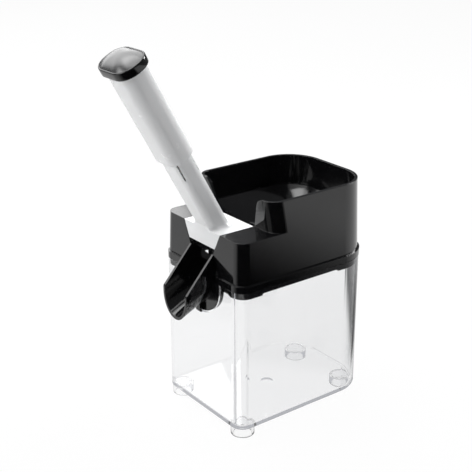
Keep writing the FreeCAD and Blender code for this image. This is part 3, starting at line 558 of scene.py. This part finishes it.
# %% Cap cover
COVER_HALF_X, COVER_HALF_Y, COVER_CORNER = 0.0184, 0.0123, 0.0112
COVER_LOW, COVER_HIGH = SLEEVE_TOP + 0.0052, CAP_HIGH - 0.0003
COVER_RISE, COVER_BOW = 0.0052, 2.4
COVER_RINGS = (0.985, 0.96, 0.92, 0.87, 0.8, 0.72, 0.63, 0.54, 0.44, 0.33, 0.22, 0.11)


def step_up(rise):
    """Extrudes the selected face upwards."""
    bpy.ops.mesh.extrude_region_move(TRANSFORM_OT_translate={"value": (0, 0, rise)})


cover = oblong_block(
    "cap_dome", COVER_HALF_X, COVER_HALF_Y, COVER_CORNER, COVER_LOW, COVER_HIGH, segments=18
)
bpy.ops.mesh.select_mode(type="FACE")
pick(cover, faces=lambda face: face.normal.z > 0.9)
last_share = 1.0
for share_of_plan in COVER_RINGS:
    step_up(COVER_RISE * (last_share ** COVER_BOW - share_of_plan ** COVER_BOW))
    shrink = share_of_plan / last_share
    bpy.ops.transform.resize(value=(shrink, shrink, 1.0), center_override=(0, 0, 0))
    last_share = share_of_plan
step_up(COVER_RISE * last_share ** COVER_BOW)
bpy.ops.mesh.merge(type="CENTER")
bpy.ops.object.mode_set(mode="OBJECT")
settle(cover, leaning=True)
smooth(cover, degrees=40)
cover.data.materials.append(black_satin_and_painted_shade)
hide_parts("cap_cover")
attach(cover, "plunger")
print("cap dome", len(cover.data.polygons), "faces")

# %% [markdown]
# The return spring hides in the tube. A small ring of wire is swept round the axis by the
# Screw modifier, and the two open ends of the wire are closed with a face each.

# %% Return spring
SPRING_LOW, SPRING_HIGH = 0.0056, 0.0908
SPRING_TURNS, STEPS_PER_TURN = 22, 28
WIRE_RADIUS = 0.00055
SPRING_RADIUS = 0.0059 - WIRE_RADIUS
spring = start_piece(
    bpy.ops.mesh.primitive_circle_add,
    "coil_spring",
    vertices=10,
    radius=WIRE_RADIUS,
    location=(SPRING_RADIUS, 0, SPRING_LOW + WIRE_RADIUS),
    rotation=(math.radians(90), 0, 0),
)
settle(spring)
sweep = spring.modifiers.new("turns", "SCREW")
sweep.axis = "Z"
sweep.iterations = SPRING_TURNS
sweep.steps = STEPS_PER_TURN
sweep.render_steps = STEPS_PER_TURN
sweep.screw_offset = (SPRING_HIGH - SPRING_LOW - 2 * WIRE_RADIUS) / SPRING_TURNS
sweep.use_merge_vertices = False
bpy.ops.object.modifier_apply(modifier="turns")
bpy.ops.object.mode_set(mode="EDIT")
bpy.ops.mesh.select_mode(type="VERT")
bpy.ops.mesh.select_all(action="SELECT")
bpy.ops.mesh.remove_doubles(threshold=0.00001)
bpy.ops.mesh.select_non_manifold()
bpy.ops.mesh.edge_face_add()
bpy.ops.mesh.select_all(action="SELECT")
bpy.ops.mesh.normals_make_consistent(inside=False)
bpy.ops.object.mode_set(mode="OBJECT")
settle(spring, leaning=True)
smooth(spring, degrees=40)
spring.data.materials.append(bright_steel)
print("spring", len(spring.data.polygons), "faces")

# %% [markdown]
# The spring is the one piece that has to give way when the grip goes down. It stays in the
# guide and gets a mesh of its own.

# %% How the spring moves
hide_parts("return_spring")
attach(spring, "guide")
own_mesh(spring)

# %% [markdown]
# ## Studio
#
# The studio is a wide pale floor and a white surround. The floor is lit like any surface,
# and what the camera sees of it is lifted almost to white.
#
# Polished plastic mirrors the floor, and clear plastic bends it, so the floor answers those
# rays with glowing patterns of its own: painted reflections, and painted light and shade seen
# through clear plastic. These helpers build the patterns from its nodes.

# %% Floor and its helpers
floor = start_piece(
    bpy.ops.mesh.primitive_plane_add, "studio_floor", size=8.0, location=(0, 0, 0)
)
floor_paint = new_finish("floor_paint", (0.62, 0.62, 0.62), roughness=0.8)
floor_nodes = floor_paint.node_tree.nodes
ray = add_node(floor_paint, "ShaderNodeLightPath")
floor_place = add_node(floor_paint, "ShaderNodeTexCoord")
floor_axes = add_node(floor_paint, "ShaderNodeSeparateXYZ")
link(floor_paint, floor_place, "Object", floor_axes, "Vector")


def floor_math(operation, first, second):
    """A maths node on two values, each of them a number or a (node, output) pair."""
    node = add_node(floor_paint, "ShaderNodeMath", operation=operation)
    for index, value in enumerate((first, second)):
        if isinstance(value, tuple):
            link(floor_paint, value[0], value[1], node, index)
        else:
            node.inputs[index].default_value = value
    return (node, "Value")


def floor_ramp(value, start, end, first, last):
    """A soft step from one value to another along a coordinate."""
    node = add_node(floor_paint, "ShaderNodeMapRange", interpolation_type="SMOOTHSTEP")
    node.inputs["From Min"].default_value = start
    node.inputs["From Max"].default_value = end
    node.inputs["To Min"].default_value = first
    node.inputs["To Max"].default_value = last
    link(floor_paint, value[0], value[1], node, "Value")
    return (node, "Result")


def floor_layer(below, ray_output, strength):
    """Puts an emission over a shader node, for one kind of ray only."""
    emission = add_node(floor_paint, "ShaderNodeEmission")
    link(floor_paint, strength[0], strength[1], emission, "Strength")
    mix = add_node(floor_paint, "ShaderNodeMixShader")
    link(floor_paint, ray, ray_output, mix, "Fac")
    link(floor_paint, below, 0, mix, 1)
    link(floor_paint, emission, 0, mix, 2)
    return mix


print("floor helpers ready")

# %% [markdown]
# For mirrored rays the floor glows as a painted reflection, bright at the left and at the
# back and dark at the right, as if a black card lay there. For rays through clear plastic
# it glows bright in a broad strip along the line of sight and dark on both sides, painted
# light and shade which draws the dark outlines that a clear box has in front of a light
# table. ACROSS points across the line of sight, to the right.

# %% Patterns on the floor
ACROSS_X, ACROSS_Y = 0.602, 0.798
left_glow = floor_ramp((floor_axes, "X"), start=-0.12, end=0.10, first=0.95, last=0.0)
back_glow = floor_ramp((floor_axes, "Y"), start=0.17, end=0.42, first=0.0, last=1.1)
mirror_pattern = floor_math("MAXIMUM", left_glow, back_glow)
across_x = floor_math("MULTIPLY", (floor_axes, "X"), ACROSS_X)
across_y = floor_math("MULTIPLY", (floor_axes, "Y"), ACROSS_Y)
across = floor_math("ADD", across_x, across_y)
strip_pattern = floor_math(
    "MULTIPLY",
    floor_ramp(across, start=0.115, end=0.145, first=1.0, last=0.04),
    floor_ramp(across, start=-0.26, end=-0.16, first=0.25, last=1.0),
)
print("patterns ready")

# %% [markdown]
# The layers of the floor: the lit paint, the lift towards white for the camera, and one
# pattern for each kind of ray.

# %% Layers of the floor
WHITE_SHARE = 0.95
glow = add_node(floor_paint, "ShaderNodeEmission")
glow.inputs["Strength"].default_value = 1.0
lift = add_node(floor_paint, "ShaderNodeMixShader")
lift_share = floor_math("MULTIPLY", (ray, "Is Camera Ray"), WHITE_SHARE)
link(floor_paint, lift_share[0], lift_share[1], lift, "Fac")
link(floor_paint, floor_nodes["Principled BSDF"], 0, lift, 1)
link(floor_paint, glow, 0, lift, 2)
mirrored = floor_layer(lift, "Is Glossy Ray", mirror_pattern)
bent = floor_layer(mirrored, "Is Transmission Ray", strip_pattern)
link(floor_paint, bent, 0, floor_nodes["Material Output"], "Surface")
floor.data.materials.append(floor_paint)
print("floor ready")

# %% [markdown]
# Two dark cards stand left and right of the camera's line of sight. Only light that has
# passed clear plastic meets them, so they throw no shadow and no reflection. Seen from the
# camera they darken just the edges of the clear plastic.

# %% Dark cards
CARDS = {"dark_card_left": -0.34, "dark_card_right": 0.24}
CARD_LENGTH, CARD_HEIGHT, CARD_MIDDLE = 2.4, 1.2, 0.5
card_paint = bpy.data.materials.new("card_paint")
card_paint.use_nodes = True
card_glow = add_node(card_paint, "ShaderNodeEmission")
card_glow.inputs["Color"].default_value = (0.05, 0.05, 0.055, 1.0)
link(card_paint, card_glow, 0, card_paint.node_tree.nodes["Material Output"], "Surface")
for name, reach in CARDS.items():
    card = start_piece(
        bpy.ops.mesh.primitive_plane_add,
        name,
        size=1.0,
        location=(ACROSS_X * reach, ACROSS_Y * reach, CARD_MIDDLE),
    )
    card.scale = (CARD_LENGTH, CARD_HEIGHT, 1.0)
    card.rotation_euler = (math.radians(90), 0, math.radians(VIEW_TURN + 90))
    card.visible_camera = False
    card.visible_diffuse = False
    card.visible_glossy = False
    card.visible_shadow = False
    card.data.materials.append(card_paint)
print("cards ready")

# %% [markdown]
# The surround is white where the camera looks past the object, also through clear plastic.
# As a light it is dimmer, so that the panels give the shapes their shading.

# %% Surround
world = bpy.data.worlds.new("studio_surround")
bpy.context.scene.world = world
world.use_nodes = True
dim = world.node_tree.nodes["Background"]
dim.inputs["Color"].default_value = (0.95, 0.97, 1.0, 1.0)
dim.inputs["Strength"].default_value = 0.15
white = add_node(world, "ShaderNodeBackground")
white.inputs["Color"].default_value = (1.0, 1.0, 1.0, 1.0)
white.inputs["Strength"].default_value = 1.0
world_ray = add_node(world, "ShaderNodeLightPath")
world_sight = add_node(world, "ShaderNodeMath", operation="MAXIMUM")
world_mix = add_node(world, "ShaderNodeMixShader")
link(world, world_ray, "Is Camera Ray", world_sight, 0)
link(world, world_ray, "Is Transmission Ray", world_sight, 1)
link(world, world_sight, "Value", world_mix, "Fac")
link(world, dim, 0, world_mix, 1)
link(world, white, 0, world_mix, 2)
link(world, world_mix, 0, world.node_tree.nodes["World Output"], "Surface")
print("surround ready")

# %% [markdown]
# Four panels. The large one at the left and the one overhead are what the cap's domed cover
# mirrors, and the head's shoulders catch the far edge of the large one. A weaker one lights
# the front, and the one behind draws the bright streak along the grip's far side.

# %% Panels
OBJECT_MIDDLE = Vector((0.0, 0.0, 0.15))


def soft_panel(name, centre, width, height, watts):
    """A rectangular lamp at a place, turned towards the object's middle."""
    lamp = bpy.data.lights.new(name, "AREA")
    lamp.shape = "RECTANGLE"
    lamp.size = width
    lamp.size_y = height
    lamp.energy = watts
    panel = bpy.data.objects.new(name, lamp)
    bpy.context.scene.collection.objects.link(panel)
    panel.location = centre
    panel.rotation_euler = (OBJECT_MIDDLE - Vector(centre)).to_track_quat("-Z", "Y").to_euler()


soft_panel("panel_left", (-1.20, 0.0, 1.35), width=2.22, height=2.2, watts=45.0)
soft_panel("panel_top", (-0.2, -0.25, 1.6), width=1.0, height=1.0, watts=10.0)
soft_panel("panel_front", (-0.25, -1.3, 0.9), width=0.9, height=0.7, watts=8.0)
soft_panel("panel_back", (0.10, 1.18, 0.86), width=0.4, height=0.7, watts=17.0)
print("panels ready")

# %% [markdown]
# The view transform is set to Standard, so a colour renders about as it is written.

# %% Finish
bpy.context.scene.view_settings.view_transform = "Standard"
bpy.context.view_layer.update()
